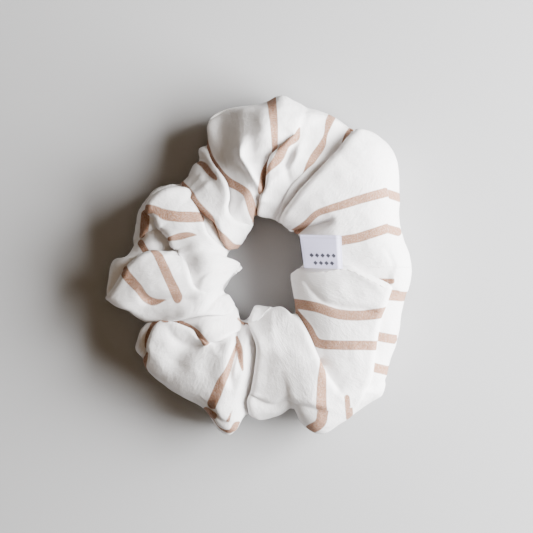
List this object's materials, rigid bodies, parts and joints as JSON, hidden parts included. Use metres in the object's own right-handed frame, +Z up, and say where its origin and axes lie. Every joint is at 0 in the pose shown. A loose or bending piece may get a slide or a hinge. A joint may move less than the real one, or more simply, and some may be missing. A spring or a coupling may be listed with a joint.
{
  "type": "scrunchie",
  "caption": "Gathered striped fabric hair tie: a cloth ring sewn round an elastic band, with a folded woven label on its inner shoulder.",
  "frame": {"origin": "centre of the ring's extent, on the surface that it lies on", "axes": "+Z up out of the ring's hole, +X along the stretch and out past the label, +Y along the ring's longer extent"},
  "size_m": [0.1112, 0.1235, 0.0354],
  "materials": {
    "cover_cloth": "matte woven cotton, off-white with tan stripes",
    "thread": "matte spun thread",
    "elastic": "matte braided elastic",
    "label_cloth": "fine satin-woven tape"
  },
  "bodies": {
    "left_half": {"cover_left": "cover_cloth", "long_seam_thread_left": "thread", "elastic_band": "elastic", "elastic_join_thread": "thread"},
    "right_half": {"cover_right": "cover_cloth", "long_seam_thread_right": "thread", "closing_seam_thread": "thread"},
    "label_tab": {"label": "label_cloth"}
  },
  "joints": [
    {"name": "stretch", "type": "slide", "parent": "left_half", "child": "right_half", "axis": [1, 0, 0], "range_m": [0, 0.04], "stiffness_N_per_m": 80, "deforming": ["elastic_band"]},
    {"name": "label_flap", "type": "hinge", "parent": "right_half", "child": "label_tab", "pos_m": [0.0144, -0.0005, 0.03148], "axis": [0.9877, 0, 0.1564], "range_deg": [0, 110]}
  ]
}
